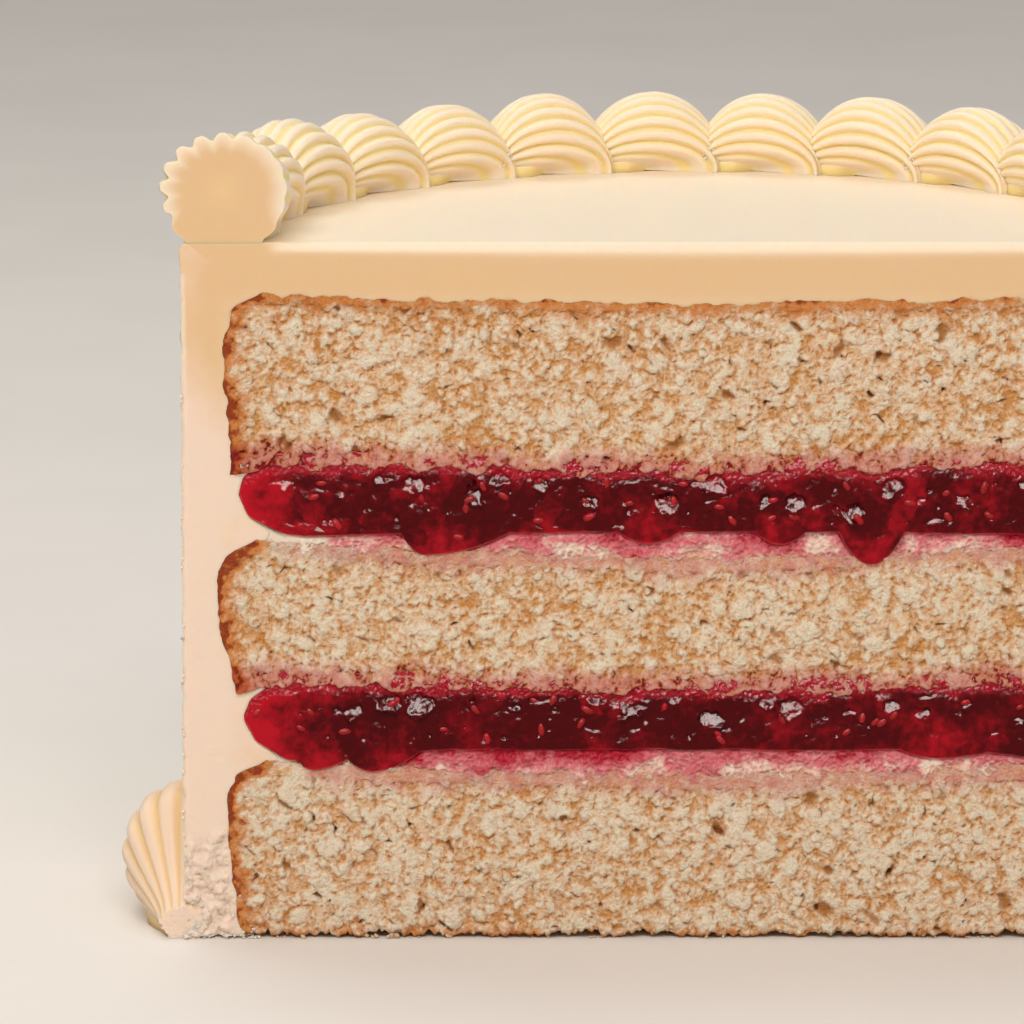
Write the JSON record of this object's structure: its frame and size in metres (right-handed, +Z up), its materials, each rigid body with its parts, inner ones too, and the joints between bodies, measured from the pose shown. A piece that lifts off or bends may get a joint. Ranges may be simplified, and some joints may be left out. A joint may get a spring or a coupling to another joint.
{
  "type": "half of a jam-filled layer cake",
  "caption": "Cut half of a round vanilla sponge cake with jam layers, buttercream icing and piped shell borders.",
  "frame": {"origin": "middle of the overall footprint, on the surface that the cake stands on", "axes": "+Z up; the flat cut face looks along -Y and the round iced side along +Y; X runs along the cut"},
  "size_m": [0.187, 0.0954, 0.1309],
  "materials": {
    "sponge": "open vanilla sponge crumb with a thin browned crust at its sides",
    "jam": "wet dark red seeded berry jam",
    "cream": "thin buttercream stained pink by the jam",
    "icing": "smooth ivory buttercream with a soft sheen",
    "piping": "ridged ivory buttercream piped with a star tip"
  },
  "bodies": {
    "root": {"sponge_top": "sponge", "sponge_middle": "sponge", "sponge_bottom": "sponge", "jam_upper": "jam", "jam_lower": "jam", "cream_upper": "cream", "cream_lower": "cream", "icing": "icing", "top_shell_01": "piping", "top_shell_02": "piping", "top_shell_03": "piping", "top_shell_04": "piping", "top_shell_05": "piping", "top_shell_06": "piping", "top_shell_07": "piping", "top_shell_08": "piping", "top_shell_09": "piping", "top_shell_10": "piping", "top_shell_11": "piping", "top_shell_12": "piping", "top_shell_13": "piping", "base_shell_01": "piping", "base_shell_02": "piping", "base_shell_03": "piping", "base_shell_04": "piping", "base_shell_05": "piping", "base_shell_06": "piping", "base_shell_07": "piping", "base_shell_08": "piping"}
  },
  "joints": []
}
